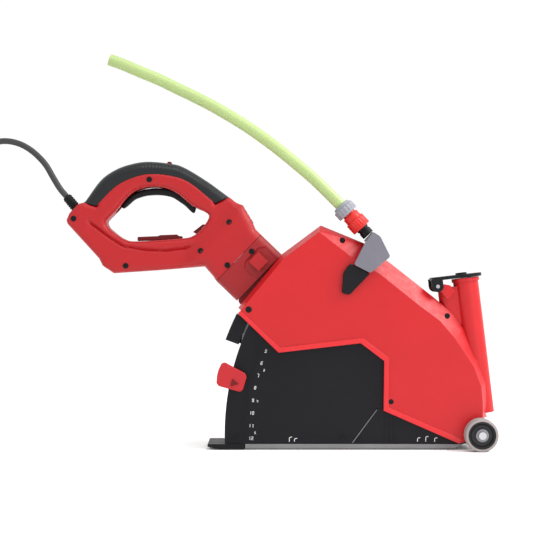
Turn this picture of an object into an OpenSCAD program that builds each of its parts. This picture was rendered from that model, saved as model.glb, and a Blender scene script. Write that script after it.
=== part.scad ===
/* [Blade] */
// Outer diameter of the diamond blade
blade_d = 300; // [280:1:302]
// Thickness of the blade's steel core
blade_core_t = 2.4; // [2:0.1:3]
// Number of diamond segments round the rim
segment_count = 18; // [12:1:24]
/* [Casing] */
// Wall thickness of the moulded covers
cover_wall = 3; // [2:0.5:4]
// Wall thickness of the blade guard
guard_wall = 3; // [2:0.5:4]
// Number of centimetre marks on the depth scale
mark_count = 8; // [4:1:8]
/* [Wheels] */
// Outer diameter of the front wheels
wheel_d = 52; // [50:1:52]
// Width of each front wheel
wheel_w = 24; // [20:1:24]
// Diameter of the wheel axle
axle_d = 12; // [10:1:14]
/* [Cords] */
// Diameter of the mains cable
cable_d = 10; // [8:1:10]
// Outer diameter of the water hose
hose_d = 19; // [17:1:20]

/* [Hidden] */
$fn = 48;

// Pivot of the plunging machine, which is also the wheel axle
pivot = [316, 26];
wheel_r = wheel_d / 2;
wheel_in = 44;
wheel_out = wheel_in + wheel_w;
// Blade centre at rest
hub = [90, 154];
blade_r = blade_d / 2;
// Slope of the motor's axis, which runs up and back from the blade's centre
motor_tilt = 136;
motor_y = 40;
// Faces across the machine, from the near side to the far side
cover_face = -38;
crest_y = -15;
split_y = 0;
cover_back = 20;
guard_face = -33;
guard_back = 15;
handle_y = 40;
handle_half = 26.2;
// Rear edge of the guard, an arc about the pivot
guard_r = 401;

// A point at radius r and angle a about the pivot
function polar(r, a) = pivot + r * [cos(a), sin(a)];
function arc(r, a0, a1, n) = [for (i = [0:n]) polar(r, a0 + (a1 - a0) * i / n)];
// A point t along the motor's axis and s to its upper side
function on_motor(t, s) = hub + t * [cos(motor_tilt), sin(motor_tilt)]
    + s * [sin(motor_tilt), -cos(motor_tilt)];
// Replaces each corner by two points a little way along its edges
function cut_corners(p, d) = [for (i = [0:len(p) - 1])
    let (b = p[i], u = p[(i + len(p) - 1) % len(p)] - b, v = p[(i + 1) % len(p)] - b)
    each [b + u / norm(u) * min(d, norm(u) * 0.3), b + v / norm(v) * min(d, norm(v) * 0.3)]];
function rounded(p, d) = cut_corners(cut_corners(p, d), d * 0.35);
// Moves a clockwise outline inwards by d
function inset(p, d) = [for (i = [0:len(p) - 1])
    let (a = p[(i + len(p) - 1) % len(p)], b = p[i], c = p[(i + 1) % len(p)],
        u = (b - a) / norm(b - a), v = (c - b) / norm(c - b))
    b + [u[1] + v[1], -u[0] - v[0]] / (1 + u * v) * d];

// A flat piece in the plane of the blade, from y0 to y1
module slab(y0, y1) {
    translate([0, y1, 0])
        rotate([90, 0, 0])
            linear_extrude(y1 - y0)
                children();
}
// A round bar across the machine
module rod(p, r, y0, y1) {
    translate([p[0], y1, p[1]])
        rotate([90, 0, 0])
            cylinder(r = r, h = y1 - y0);
}
module ring(p, r_out, r_in, y0, y1) {
    difference() {
        rod(p, r_out, y0, y1);
        rod(p, r_in, y0 - 1, y1 + 1);
    }
}
// A slab whose near and far edges are rounded in steps of radius r0 and r1
edge_steps = 3;
module softened(y0, y1, r0, r1) {
    slab(y0 + r0, y1 - r1)
        children();
    for (k = [1:edge_steps]) {
        out = 1 - sin(90 * k / edge_steps);
        in = 1 - cos(90 * (k - 0.4) / edge_steps);
        slab(r0 > 0 ? y0 + r0 * out : y0 + 2, r1 > 0 ? y1 - r1 * out : y1 - 2)
            offset(delta = -max(r0, r1) * in)
                children();
    }
}
// A wall that follows open runs of points: outs and ins are its two sides at the depths ys
module band(ys, outs, ins) {
    n = len(outs[0]);
    m = len(ys);
    q = 2 * m;
    points = [for (i = [0:n - 1]) each concat(
        [for (k = [0:m - 1]) [outs[k][i][0], ys[k], outs[k][i][1]]],
        [for (k = [m - 1:-1:0]) [ins[k][i][0], ys[k], ins[k][i][1]]])];
    walls = [for (i = [0:n - 2]) for (k = [0:q - 1])
        let (a = i * q, b = a + q, j = (k + 1) % q)
        each [[a + k, a + j, b + j], [a + k, b + j, b + k]]];
    ends = [for (i = [0, (n - 1) * q]) for (k = [0:m - 2])
        let (a = i + k, b = i + k + 1, c = i + q - 2 - k, d = i + q - 1 - k)
        each (i == 0 ? [[a, d, c], [a, c, b]] : [[a, c, d], [a, b, c]])];
    polyhedron(points, concat(walls, ends));
}
// Places children with +Z along the motor's axis, at distance t
module along_motor(t) {
    p = on_motor(t, 0);
    translate([p[0], motor_y, p[1]])
        rotate([0, 90 - motor_tilt, 0])
            children();
}
// A tube that follows a list of points
module tube(path, d, sides) {
    n = len(path);
    along = [for (i = [0:n - 1]) let (v = path[min(i + 1, n - 1)] - path[max(i - 1, 0)]) v / norm(v)];
    points = [for (i = [0:n - 1])
        let (t = along[i], s = cross(t, [0.1, 0.99, 0.1]), u = s / norm(s), w = cross(t, u))
        for (k = [0:sides - 1]) path[i] + d / 2 * (u * cos(360 * k / sides) + w * sin(360 * k / sides))];
    walls = [for (i = [0:n - 2]) for (k = [0:sides - 1])
        let (a = i * sides, j = (k + 1) % sides)
        each [[a + k, a + sides + k, a + sides + j], [a + k, a + sides + j, a + j]]];
    first = [for (k = [0:sides - 1]) k];
    last = [for (k = [0:sides - 1]) n * sides - 1 - k];
    polyhedron(points, concat([first, last], walls));
}

// ---- Base: plate, foot, guard, axle ----

plate_z = [1.5, 9];
plate_y = [-34, 30];
module base_plate() {
    color("#757575")
    difference() {
        slab(plate_y[0], plate_y[1])
            polygon([[-53, plate_z[0]], [-53, plate_z[1]], [290, plate_z[1]], [278, plate_z[0]]]);
        translate([-50, -9, 0])
            cube([266, 18, 12]);
    }
}
foot_outline = [[-112, 5], [-112, 9], [-54, 9], [-54, 0], [-92, 0]];
module rear_foot() {
    color("#1c1c1e")
    slab(-36, 46)
        polygon(foot_outline);
}
module wear_strip() {
    color("#7a1a1c")
    translate([93, -32, 0.5])
        cube([17, 20, 0.9]);
}
guard_top = [[-8, 226], [22, 238], [100, 250], [180, 210], [250, 150], [276, 100], [286, 60]];
guard_seam = [[154, 65], [115, 9.2]];
function guard_outline() = concat(arc(guard_r, 182.4, 153.5, 14), guard_top);
module guard_near() {
    color("#222226") {
        difference() {
            slab(guard_face, guard_face + guard_wall)
                polygon(concat(guard_outline(), [[286, 62], [154, 62], guard_seam[0], guard_seam[1],
                    [-84, 9.2]]));
            slab(guard_face - 1, guard_face + guard_wall + 1)
                polygon([[154, 65], [154, 40], [400, 40], [400, 65]]);
        }
        // Rear edge, turned in, that the depth stop slides on
        slab(guard_face + guard_wall - 0.5, -9)
            polygon(concat(arc(guard_r, 182.3, 154, 14), arc(guard_r - 4, 154, 182.2, 14)));
        // Raised guide line beside the scale
        slab(guard_face - 1.2, guard_face + 0.5)
            polygon(concat(arc(372, 181, 158, 12), arc(369, 158, 181, 12)));
    }
}
module guard_far() {
    color("#222226")
    difference() {
        slab(guard_back - guard_wall, guard_back)
            polygon(concat(guard_outline(), [[286, 9.2], [-84, 9.2]]));
        // Opening that the blade spindle sweeps through
        slab(guard_back - guard_wall - 1, guard_back + 1)
            polygon([[28, 72], [104, 98], [140, 150], [140, 270], [10, 270], [20, 150]]);
    }
}
module guard_front() {
    color("#29292d") {
        slab(guard_face, guard_face + guard_wall)
            polygon([[116.5, 9.2], [155, 64.6], [286, 64.6], [292, 40], [292, 9.2]]);
        for (x = [168, 175, 182])
            translate([x, guard_face - 1, 10])
                cube([3, 1.5, 50]);
    }
}
// Depth reached when the stop holds the machine at angle a below rest
scale_r = 360;
hub_r = norm(hub - pivot);
hub_a = atan2(hub[1] - pivot[1], hub[0] - pivot[0]);
rest_gap = hub[1] - blade_r;
// Swing that brings the blade's rim to depth d below the floor line
function swing_for(d) = asin((hub[1] - pivot[1]) / hub_r) - asin((hub[1] - pivot[1] - rest_gap - d) / hub_r);
module depth_marks() {
    color("#e8e8e8") {
        for (i = [0:mark_count - 1])
            for (half = [0, 0.5]) {
                a = hub_a + 8.0 + swing_for(10 * (i + half));
                if (a < 181.2) {
                    p = polar(half == 0 ? scale_r : scale_r - 6, a);
                    translate([p[0], guard_face - 0.45, p[1]])
                        rotate([0, 180 - a, 0])
                            cube([half == 0 ? 8 : 4, 0.9, 1.4], center = true);
                }
            }
        for (x = [17, 25, 221, 232, 246])
            translate([x, guard_face - 0.45, 14])
                cube([1.6, 0.9, 6], center = true);
    }
}
module guard_screws() {
    color("#3a3a3e")
    for (p = [[-66, 22], [100, 20], [128, 16], [270, 20]])
        rod(p, 4, guard_face - 1.2, guard_face);
}
module wheel_axle() {
    color("#8a8a90")
    rod(pivot, axle_d / 2, -wheel_out - 4, wheel_out + 4);
}
bracket_y = [26, 30];
module axle_brackets() {
    color("#1c1c1e")
    for (side = [-1, 1])
        difference() {
            slab(min(side * bracket_y[0], side * bracket_y[1]), max(side * bracket_y[0], side * bracket_y[1]))
                polygon([[250, 9.05], [285, 34], [303, 42], [322, 42], [332, 30], [328, 14], [312, 9.05],
                    [290.5, 9.05]]);
            rod(pivot, axle_d / 2 + 0.02, -40, 40);
        }
}
spring_turns = 6;
module return_spring() {
    color("#9a9aa0")
    for (k = [0:spring_turns - 1])
        translate([pivot[0], -9 + k * 3.4, pivot[1]])
            rotate([90, 0, 0])
                rotate_extrude()
                    translate([9.5, 0])
                        circle(r = 1.6);
}

// ---- Wheels ----

module wheel_hub(side) {
    y = side * wheel_in;
    e = side * (wheel_out - 1);
    color("#1a1a1c")
    difference() {
        union() {
            rod(pivot, wheel_r - 4.6, min(y, e), max(y, e));
            rod(pivot, 10, min(e, e + side * 2.5), max(e, e + side * 2.5));
        }
        rod(pivot, axle_d / 2 + 0.05, -80, 80);
        // Dished outer face
        difference() {
            rod(pivot, wheel_r - 8, min(e, e - side * 4), max(e, e - side * 4) + 0.01);
            rod(pivot, 10.5, -80, 80);
        }
    }
}
module wheel_tyre(side) {
    translate([pivot[0], side * (wheel_in + wheel_out) / 2, pivot[1]])
        rotate([90, 0, 0])
            color("#a8a0a0")
            rotate_extrude()
                polygon([
                    [wheel_r - 4.5, -wheel_w / 2], [wheel_r - 1.6, -wheel_w / 2], [wheel_r, -wheel_w / 2 + 2],
                    [wheel_r, wheel_w / 2 - 2], [wheel_r - 1.6, wheel_w / 2], [wheel_r - 4.5, wheel_w / 2]]);
}

// ---- Depth stop ----

stop_outline = [[-88, 140], [-49, 119], [-57, 91], [-98, 102], [-96, 123]];
module depth_stop_block() {
    color("#c83238") {
        slab(-45, guard_face - 1.6)
            polygon(rounded(stop_outline, 4));
        // Lip that hooks behind the guard's rear edge
        slab(guard_face - 2, guard_face + 3)
            polygon(concat(arc(guard_r + 8, 166.5, 169.5, 3), arc(guard_r + 1.2, 169.5, 166.5, 3)));
    }
}
module depth_stop_button() {
    color("#e04a4e")
    slab(-48, -45.05)
        polygon([[-74, 108], [-72, 113], [-62, 104.5], [-75, 101]]);
}

// ---- Covers ----

// Silhouette of the cover, from its rear corner over the top to the front
crest = [
    [-64, 223], [5, 308], [67, 354], [135, 326], [179, 293], [250, 237], [277, 213],
    [294, 190], [318, 140], [330, 105], [332, 76], [331, 50]];
// The same corners on the near face, inside the bevel
face = [
    [-59, 220], [10, 303], [64, 343], [118, 301], [158, 278], [222, 227], [253, 204],
    [278, 175], [307, 131], [319, 99], [321, 76], [321, 50]];
lower_edge = [[300, 14], [284, 10], [165, 62], [166, 140], [129, 168], [0, 153], [-64, 215]];
far_low = [[290, 66], [262, 70], [165, 84], [150, 140], [120, 168], [0, 156], [-60, 217]];
cover_screw_at = [[-47, 221, 5, -38], [177, 76, 4, -38], [101, 330, 4.4, -26], [267, 210.5, 4.4, -25]];
// Moves an open run of points inwards by the cover's wall
function inset_open(p) = let (q = inset(concat(p, [[200, 60]]), cover_wall)) [for (i = [0:len(p) - 1])
    i == 0 ? p[0] + [cover_wall * 1.3, 0.4] : i == len(p) - 1 ? p[i] - [cover_wall, 0] : q[i]];
module duct_hole(grow) {
    along_duct(-218)
        cylinder(r = duct_r + grow, h = 236);
}
module cover_near() {
    color("#d23237")
    difference() {
        union() {
            slab(cover_face, cover_face + cover_wall)
                polygon(concat(face, lower_edge));
            band([cover_face, crest_y, split_y], [face, crest, crest],
                [inset_open(face), inset_open(crest), inset_open(crest)]);
        }
        duct_hole(0.4);
        duct_slot(0.4);
        for (s = cover_screw_at)
            rod([s[0], s[1]], s[2] + 0.15, s[3] - 12, s[3] + 1.6);
    }
}
module cover_far() {
    color("#b82a2e")
    difference() {
        union() {
            slab(cover_back - cover_wall, cover_back)
                polygon(concat(crest, far_low));
            band([split_y + 0.05, cover_back - 1], [crest, crest], [inset_open(crest), inset_open(crest)]);
        }
        rod(hub, 34, 0, 40);
        duct_hole(0.4);
        duct_slot(0.4);
        // Nothing stands in front of the dust duct on this side
        along_duct(-240)
            translate([0, -60, 0])
                cube([60, 120, 250]);
    }
}
rim = [[284, 10], [165, 62], [166, 140], [129, 168], [0, 153], [-64, 215]];
module cover_rim() {
    color("#e0383c")
    slab(cover_face - 2, cover_face - 0.02)
        polygon(concat(rim, [[-60, 219], [2, 161], [132, 176.5], [174, 145], [173, 67], [290, 16]]));
}
module cover_screws() {
    color("#2a2a2c")
    for (s = cover_screw_at)
        rod([s[0], s[1]], s[2], s[3] - 0.6, s[3] + 1.55);
}
module rear_apron() {
    color("#1e1e22")
    difference() {
        union() {
            slab(-29, 12)
                polygon(concat(arc(426, 153.9, 159.8, 5), arc(404, 159.8, 153.9, 5)));
            // Flange that reaches in behind the guard's edge
            slab(4.4, 11)
                polygon(concat(arc(425, 154, 159.7, 5), arc(386, 159.7, 154, 5)));
        }
        // Room for the blade
        slab(-4, 4)
            polygon(concat(arc(412, 150, 162, 6), arc(400, 162, 150, 6)));
    }
}
arm_near = [[303, 26], [308, 14], [324, 14], [329, 26], [323, 38], [316, 72], [303, 72]];
arm_far = [[303, 26], [308, 14], [324, 14], [329, 26], [318, 76], [200, 120], [190, 96], [270, 62]];
module pivot_arm() {
    color("#3c3c40")
    difference() {
        union() {
            slab(-24.5, -20.6)
                polygon(arm_near);
            slab(-34.95, -24.5)
                polygon([[302, 52], [315, 52], [313, 72], [302, 72]]);
            slab(20.6, 25.5)
                polygon(arm_far);
        }
        rod(pivot, axle_d / 2 + 0.06, -40, 40);
        rod(hub, 58.2, 0, 80);
    }
}

// ---- Dust outlet at the front ----

duct_r = 20;
duct_bore = 18;
duct_top = [298.8, 268.2];
duct_tilt = 7;
cap_pin = [252, 257];
cap_tilt = 6.6;
module along_duct(z) {
    translate([duct_top[0], 0, duct_top[1]])
        rotate([0, -duct_tilt, 0])
            translate([0, 0, z])
                children();
}
module duct_slot(grow) {
    along_duct(-70 - grow)
        translate([-47, -12 - grow, 0])
            cube([47, 24 + 2 * grow, 75]);
}
module dust_duct() {
    color("#d23237")
    difference() {
        union() {
            along_duct(-214)
                cylinder(r = duct_r, h = 214);
            along_duct(0)
                translate([0, 0, -3])
                    cylinder(r = duct_r + 2, h = 5.5);
            // Rib and hinge post behind the outlet
            along_duct(-70)
                translate([-34, -12, 0])
                    cube([20, 24, 61]);
            along_duct(-70)
                translate([-34, 0, 0])
                    cylinder(r = 11.9, h = 58);
            for (side = [-1, 1])
                slab(side < 0 ? -20 : 11.5, side < 0 ? -11.5 : 20)
                    polygon(concat(
                        [for (a = [90:30:300]) cap_pin + 5.4 * [cos(a), sin(a)]],
                        [[268, 236], [280, 250], [272, 259]]));
        }
        along_duct(-212)
            cylinder(r = duct_bore, h = 236);
        rod(cap_pin, 3.05, -40, 40);
    }
}
module on_cap() {
    translate([cap_pin[0], 0, cap_pin[1]])
        rotate([0, -cap_tilt, 0])
            children();
}
module dust_cap() {
    color("#22302a")
    difference() {
        on_cap() {
            translate([50, 0, 9.2])
                cylinder(r = 24, h = 5.2);
            translate([-7, -20, 9.2])
                cube([53, 40, 5.2]);
            translate([42, 0, 14.4])
                cylinder(r = 9, h = 3);
            for (side = [-1, 1])
                translate([-9, side > 0 ? 20.2 : -26, 0])
                    cube([18, 5.8, 12]);
            for (side = [-1, 1])
                translate([0, side > 0 ? 26 : -20.2, 0])
                    rotate([90, 0, 0])
                        cylinder(r = 9, h = 5.8);
        }
        rod(cap_pin, 3, -40, 40);
    }
}
module dust_cap_pin() {
    color("#8a8a90")
    rod(cap_pin, 2.98, -27, 27);
}

// ---- Water feed ----

water_y = -18;
water_axis = 133;
valve_at = [133, 349];
bracket_outline = [[136, 327], [148, 343], [159, 336], [175, 304], [144, 278.4], [118, 291.5]];
saddle_outline = [[136, 330], [148, 343], [159, 336], [170, 314], [167, 307], [141, 326]];
arm_outline = [[117, 291], [143.5, 277.6], [111, 243.8], [99, 247], [101.6, 279], [112, 293.3]];
module along_water(t) {
    translate([valve_at[0], water_y, valve_at[1]])
        rotate([0, 90 - water_axis, 0])
            translate([0, 0, t])
                children();
}
module water_bracket() {
    color("#8e8c96") {
        slab(-50, -39)
            polygon(rounded(bracket_outline, 2));
        difference() {
            slab(-39.5, -6)
                polygon(saddle_outline);
            along_water(-14)
                cylinder(r = 10.05, h = 40);
        }
    }
}
module water_arm() {
    color("#27262c")
    slab(-47, -38.3)
        polygon(rounded(arm_outline, 2));
}
module water_valve() {
    color("#1f1f22")
    along_water(-13.9)
        cylinder(r = 10, h = 14.9);
}
module hose_coupler() {
    color("#e5322d") {
        along_water(1.05)
            cylinder(r = 16, h = 18);
        along_water(19)
            cylinder(r = 13.5, h = 10);
        along_water(29)
            cylinder(r = 11, h = 3);
    }
}
module hose_nut() {
    color("#a8a8b0")
    along_water(32.05) {
        cylinder(r = 17.5, h = 14);
        translate([0, 0, 14])
            cylinder(r = 14.5, h = 5);
    }
}
hose_path = [
    [99.6, -18, 384.8], [86, -18, 398.5], [59, -18, 425], [30, -18, 450], [2, -18, 473], [-26, -18, 494],
    [-52, -18, 512], [-78, -18, 528], [-104, -18, 543], [-131, -18, 557], [-160, -18, 571],
    [-189, -18, 585], [-218, -18, 597], [-246, -18, 609], [-268, -18, 617]];
module water_hose() {
    color("#c9dc94")
    tube(hose_path, hose_d, 12);
}

// ---- Drive: gear housing, motor ----

gear_y = [22, 74];
module gear_housing() {
    color("#3c3c40")
    difference() {
        union() {
            rod(hub, 58, gear_y[0], gear_y[1]);
            along_motor(48)
                translate([-38, gear_y[0] + 0.5 - motor_y, 0])
                    cube([76, gear_y[1] - gear_y[0] - 1, neck_back - 48.2]);
        }
        rod(hub, 50, gear_y[0] + 3, gear_y[1] - 8);
        along_motor(20)
            cylinder(r = 15, h = 150);
        rod(hub, 13.1, gear_y[0] - 1, gear_y[0] + 10);
        rod(hub, 13.1, gear_y[1] - 10, gear_y[1] - 2);
    }
}
neck_back = 149;
neck_from = 168;
neck_to = 214;
neck_half = 52;
neck_y = [4, 76];
// The neck between the cover and the handle, which holds the motor
module neck_block(t0, t1, y0, corner) {
    w = neck_half;
    a = y0 - motor_y;
    b = neck_y[1] - motor_y;
    along_motor(t0)
        linear_extrude(t1 - t0)
            polygon(rounded([[-w, a], [-w, b], [w, b], [w, a]], corner));
}
module motor_housing() {
    color("#c62e33")
    difference() {
        union() {
            neck_block(neck_from, neck_to, neck_y[0], 14);
            // Part that reaches in behind the cover
            neck_block(neck_back, neck_from + 1, cover_back + 0.8, 8);
            along_motor(neck_to)
                translate([0, 0, -1])
                    cylinder(r = 33.8, h = 72);
        }
        along_motor(neck_from + 6)
            cylinder(r = 32.2, h = 150);
        along_motor(neck_back + 8)
            cylinder(r = 13.1, h = 40);
        along_motor(neck_back - 1)
            cylinder(r = 8, h = 12);
        // Recess round the spindle lock button
        slab(neck_y[0] - 1, neck_y[0] + 1.6)
            polygon([on_motor(neck_from - 1, 44), on_motor(neck_from - 1, -8), on_motor(196, -8),
                on_motor(204, 2), on_motor(204, 34), on_motor(196, 44)]);
        spindle_lock_bore();
        rod([-43, 313], 4.6, -40, 5.4);
        // Cooling slots along the upper side
        for (i = [0:4])
            along_motor(176 + 7 * i)
                translate([neck_half - 4, -14, 0])
                    cube([10, 28, 3]);
    }
}
module motor_stator() {
    color("#8c8f94")
    along_motor(200)
        difference() {
            cylinder(r = 32, h = 50);
            translate([0, 0, -1])
                cylinder(r = 24, h = 60);
        }
}
module shaft_bearings() {
    color("#b8b8bc") {
        ring(hub, 13, 8.05, gear_y[0] + 0.5, gear_y[0] + 5.5);
        ring(hub, 13, 8.05, gear_y[1] - 9.5, gear_y[1] - 2.5);
        along_motor(160)
            difference() {
                cylinder(r = 13, h = 9);
                translate([0, 0, -1])
                    cylinder(r = 6.05, h = 12);
            }
        along_motor(276)
            difference() {
                cylinder(r = 11, h = 7);
                translate([0, 0, -1])
                    cylinder(r = 5.05, h = 10);
            }
    }
}
brush_t = 264;
module brush_pair(half_w, half_h, r0, r1) {
    for (side = [-1, 1])
        along_motor(brush_t)
            translate([-half_w, side > 0 ? r0 : -r1, -half_h])
                cube([2 * half_w, r1 - r0, 2 * half_h]);
}
module brush_holders() {
    color("#b08d3c")
    difference() {
        union() {
            brush_pair(5, 7, 17, 22.5);
            for (side = [-1, 1])
                along_motor(brush_t)
                    rotate([90, 0, 0])
                        translate([0, 0, side > 0 ? 22.4 : -25.4])
                            cylinder(r = 7, h = 3);
        }
        brush_pair(3.05, 5.05, 10, 22.4);
    }
}
module carbon_brushes() {
    color("#2a2a2a")
    brush_pair(3, 5, 14.3, 22);
}
// ---- Blade group ----

spindle_r = 8;
crown_teeth = 36;
pinion_teeth = 8;
module spindle() {
    color("#b8b8bc") {
        rod(hub, spindle_r, -14, gear_y[1] - 3);
        rod(hub, 12, 12, 20);
    }
}
module crown_gear() {
    color("#9a9aa0")
    difference() {
        union() {
            rod(hub, 40, 28, 31);
            rod(hub, 16, 28, 33.5);
            for (k = [0:crown_teeth - 1])
                translate([hub[0], 30.9, hub[1]])
                    rotate([0, (k + 0.5) * 360 / crown_teeth - motor_tilt, 0])
                        translate([30, 0, -0.7])
                            cube([9.5, 1.6, 1.4]);
        }
        rod(hub, spindle_r, 20, 40);
    }
}
module blade_flanges() {
    color("#8a8a90") {
        ring(hub, 26, spindle_r, blade_core_t / 2, 6);
        ring(hub, 16, spindle_r, 6, 11.9);
        ring(hub, 26, spindle_r, -6, -blade_core_t / 2);
    }
}
module flange_nut() {
    color("#6a6a70")
    difference() {
        translate([hub[0], -6, hub[1]])
            rotate([90, 0, 0])
                cylinder(r = 15, h = 7, $fn = 6);
        rod(hub, spindle_r, -20, 0);
    }
}
module diamond_blade() {
    color("#9a9da2")
    difference() {
        union() {
            ring(hub, blade_r - 9, spindle_r, -blade_core_t / 2, blade_core_t / 2);
            ring(hub, blade_r, blade_r - 10, -blade_core_t / 2 - 0.3, blade_core_t / 2 + 0.3);
        }
        for (k = [0:segment_count - 1])
            translate([hub[0], 0, hub[1]])
                rotate([0, k * 360 / segment_count, 0])
                    translate([blade_r - 16, -5, -1.25])
                        cube([20, 10, 2.5]);
    }
}

// ---- Armature ----

module armature_shaft() {
    color("#b8b8bc") {
        along_motor(44)
            cylinder(r = 6, h = 210);
        along_motor(250)
            cylinder(r = 5, h = 36);
        // Pinion that drives the crown gear
        along_motor(29)
            for (k = [0:pinion_teeth - 1])
                rotate([0, 0, k * 360 / pinion_teeth])
                    translate([0, -0.6, 0])
                        cube([7.9, 1.2, 12]);
        along_motor(29)
            cylinder(r = 6.2, h = 15.05);
    }
}
module armature_core() {
    color("#7a5a3a")
    along_motor(203)
        difference() {
            cylinder(r = 23.2, h = 44);
            translate([0, 0, -1])
                cylinder(r = 6, h = 60);
        }
}
module commutator() {
    color("#b87333")
    along_motor(256)
        difference() {
            cylinder(r = 14, h = 16);
            translate([0, 0, -1])
                cylinder(r = 5, h = 20);
        }
}
fan_blades = 12;
module cooling_fan() {
    color("#303034")
    along_motor(180)
        difference() {
            union() {
                cylinder(r = 30, h = 2);
                cylinder(r = 11, h = 14);
                for (k = [0:fan_blades - 1])
                    rotate([0, 0, k * 360 / fan_blades])
                        translate([10, -1, 1])
                            cube([20, 2, 12]);
            }
            translate([0, 0, -1])
                cylinder(r = 6, h = 20);
        }
}

// ---- Rear handle ----

// Clockwise silhouette of the handle, from its rear lower corner
handle_outline = [
    [-341, 358], [-342.8, 364], [-338, 375], [-324, 390], [-316, 391], [-287, 430], [-262, 447], [-235, 456],
    [-210, 459], [-177, 456], [-154, 450], [-117, 428], [-88, 407], [-68, 392], [-58, 388], [-44, 365],
    [-40, 350]];
handle_front = [on_motor(neck_to + 0.4, neck_half), on_motor(neck_to + 0.4, -neck_half)];
handle_under = [[-106, 274], [-119, 289], [-192, 283], [-266, 278], [-284, 290], [-290, 302]];
handle_hole = [
    [-283, 358], [-270, 371], [-258, 383], [-250, 392], [-203, 419], [-137, 384], [-114, 376], [-111, 366],
    [-135, 337], [-158, 334], [-229, 329], [-250, 331]];
// Curve where the soft grip meets the red shells
grip_low = [[-102, 391], [-143, 424], [-173, 435], [-203, 438], [-229, 434], [-261, 419], [-294, 387]];
function grip_outline() = concat([
    [-311, 397], [-287, 430], [-262, 447], [-235, 456], [-210, 459], [-177, 456],
    [-154, 450], [-117, 428], [-88, 407]], grip_low);
handle_round = 9;
bulge_from = neck_to + 1.5;
bulge_flat = 258;
module shell_outline() {
    polygon(rounded(concat(handle_outline, handle_front, handle_under), 5));
}
// Screws on the near half: place and depth of the surface that each sits in
handle_screw_at = [
    [-208, 429, 14], [-246, 290, 14], [-125, 314, 8.4], [-79, 360, 8], [-82, 291, 4], [-43, 313, 4],
    [-330, 366, 14]];
// The thicker part round the motor, on one side of the joint plane, sloping down to the grip
module motor_bulge(side) {
    depth = motor_y - neck_y[0];
    difference() {
        along_motor(bulge_from)
            translate([-49, side < 0 ? -depth : 0.03, 0])
                cube([99, depth - 0.03, 72]);
        along_motor(bulge_flat)
            translate([0, side * depth, 0])
                rotate([side * 22, 0, 0])
                    translate([-60, side < 0 ? -40 : 0, 0])
                        cube([120, 40, 90]);
    }
}
// One moulded half of the handle: rounded on its outer side, pocketed inside
module handle_half_shell(side) {
    difference() {
        union() {
            if (side < 0)
                softened(handle_y - handle_half, handle_y - 0.03, handle_round, 0)
                    shell_outline();
            else
                softened(handle_y + 0.03, handle_y + handle_half, 0, handle_round)
                    shell_outline();
            motor_bulge(side);
        }
        slab(handle_y - 60, handle_y + 60)
            polygon(rounded(handle_hole, 5));
        // Seat of the soft grip
        slab(handle_y - 60, handle_y + 60)
            polygon(concat([[-330, 398], [-310, 480], [-100, 480], [-78, 402], [-102, 390.6]],
                [for (i = [1:5]) grip_low[i] + [0, -0.4]], [[-294, 386.5]]));
        // Slot that the trigger is squeezed into
        slab(handle_y - 9, handle_y + 9)
            polygon([[-264, 384], [-264, 408], [-240, 424], [-203, 434], [-160, 426], [-130, 398], [-126, 375],
                [-203, 398]]);
        // Pocket for the motor's rear end
        along_motor(neck_to - 2)
            cylinder(r = 34, h = 76);
        // Pocket for the switch module
        slab(handle_y - 11, handle_y + 11)
            polygon(switch_outline(1));
        // Pocket for the strain relief of the cable
        translate([-321, handle_y, 374])
            rotate([0, boot_tilt, 0])
                cylinder(r = 8.6, h = 60);
        for (p = handle_screw_at)
            rod([p[0], p[1]], 4.6, -40, p[2] + 1.4);
    }
}
module handle_near() {
    color("#c62e33") {
        handle_half_shell(-1);
        // Pin that the trigger swings on
        rod(trigger_pin, 2.5, handle_y - 12, handle_y + 8.9);
    }
}
module handle_far() {
    color("#c62e33")
    handle_half_shell(1);
}
module handle_screws() {
    color("#1c1c1e")
    for (p = handle_screw_at)
        rod([p[0], p[1]], 4.4, p[2] - 0.6, p[2] + 1.35);
}
module handle_grip() {
    color("#2b3036") {
        difference() {
            softened(handle_y - 24, handle_y + 24, 8, 8)
                polygon(grip_outline());
            // Bed of the lock-off slide
            slab(handle_y - 10.5, handle_y + 10.5)
                polygon([[-226, 451], [-226, 470], [-142, 470], [-142, 436], [-152, 443], [-178, 449]]);
        }
    }
}
function switch_outline(grow) = [on_motor(244 - grow, 37.5 - grow), on_motor(276 + grow, 37.5 - grow),
    on_motor(276 + grow, 51 + grow), on_motor(250 - grow, 51 + grow)];
module switch_module() {
    color("#303034")
    slab(handle_y - 10, handle_y + 10)
        polygon(switch_outline(0));
}
trigger_pin = [-138, 389];
trigger_outline = [
    [-255, 386], [-252, 392], [-237, 407], [-222, 413.5], [-203, 416.5], [-184, 416], [-168, 412.5],
    [-152, 402], [-143, 394], [-136, 388], [-135.5, 377], [-139, 375], [-152, 388], [-172, 401.5],
    [-186, 404.6], [-200, 405.3], [-216, 404], [-233, 398.5], [-249, 384], [-253, 383]];
module trigger() {
    color("#1f2023")
    difference() {
        union() {
            slab(handle_y - 8, handle_y + 8)
                polygon(trigger_outline);
            rod(trigger_pin, 5, handle_y - 8, handle_y + 8);
        }
        rod(trigger_pin, 2.55, 0, 80);
    }
}
module lock_off() {
    color("#7a1a1c") {
        slab(handle_y - 8, handle_y + 8)
            polygon([[-219, 452.6], [-219, 457.5], [-178, 456.8], [-156, 449.8], [-158, 445.6],
                [-179, 450.4]]);
        slab(handle_y - 6, handle_y + 6)
            polygon([[-181, 456], [-180, 459.5], [-174, 459], [-173, 454]]);
    }
}
lock_at = on_motor(187, 18);
module spindle_lock_bore() {
    rod(lock_at, 6.1, neck_y[0] - 2, neck_y[0] + 9);
}
module spindle_lock() {
    color("#c62e33") {
        translate([lock_at[0], neck_y[0] - 3.5, lock_at[1]])
            rotate([0, -motor_tilt, 0])
                cube([22, 5, 22], center = true);
        rod(lock_at, 6, neck_y[0] - 2, neck_y[0] + 2);
    }
}

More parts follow.
